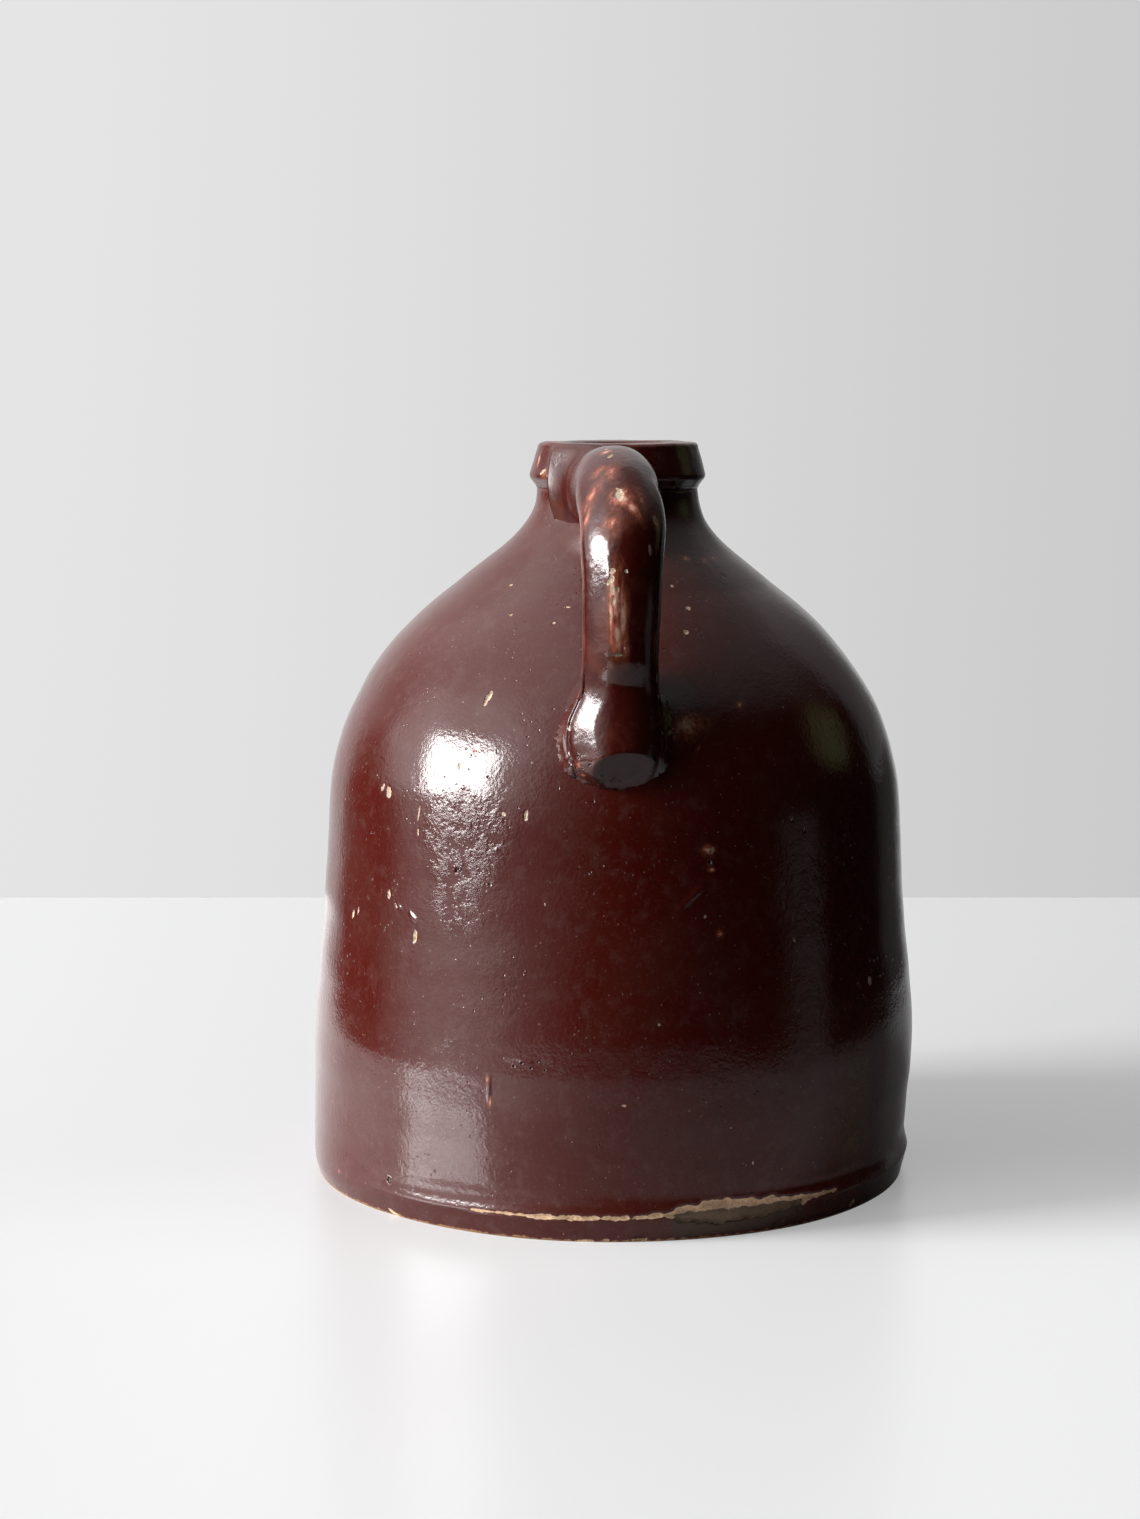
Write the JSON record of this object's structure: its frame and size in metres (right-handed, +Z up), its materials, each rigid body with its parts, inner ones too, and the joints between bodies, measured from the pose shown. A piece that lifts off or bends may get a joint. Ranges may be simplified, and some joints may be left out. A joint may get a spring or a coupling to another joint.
{
  "type": "stoneware jug",
  "caption": "Glazed stoneware jug with a straight-sided body, domed shoulder, short collared neck and a side loop handle from the neck to the shoulder.",
  "frame": {"origin": "middle of the flat underside", "axes": "+Z up along the jug's own axis and out of the mouth; the handle is on the -Y side; +X to the right when the handle faces the viewer"},
  "size_m": [0.1908, 0.1908, 0.229],
  "materials": {
    "body_glaze": "glossy deep red-brown slip glaze, pitted, with small buff chips",
    "handle_glaze": "glossy thinner red-brown glaze, worn through to tan clay in places"
  },
  "bodies": {
    "root": {"body": "body_glaze", "mouth_collar": "body_glaze", "handle": "handle_glaze", "upper_luting_clay": "handle_glaze", "lower_luting_clay": "handle_glaze"}
  },
  "joints": []
}
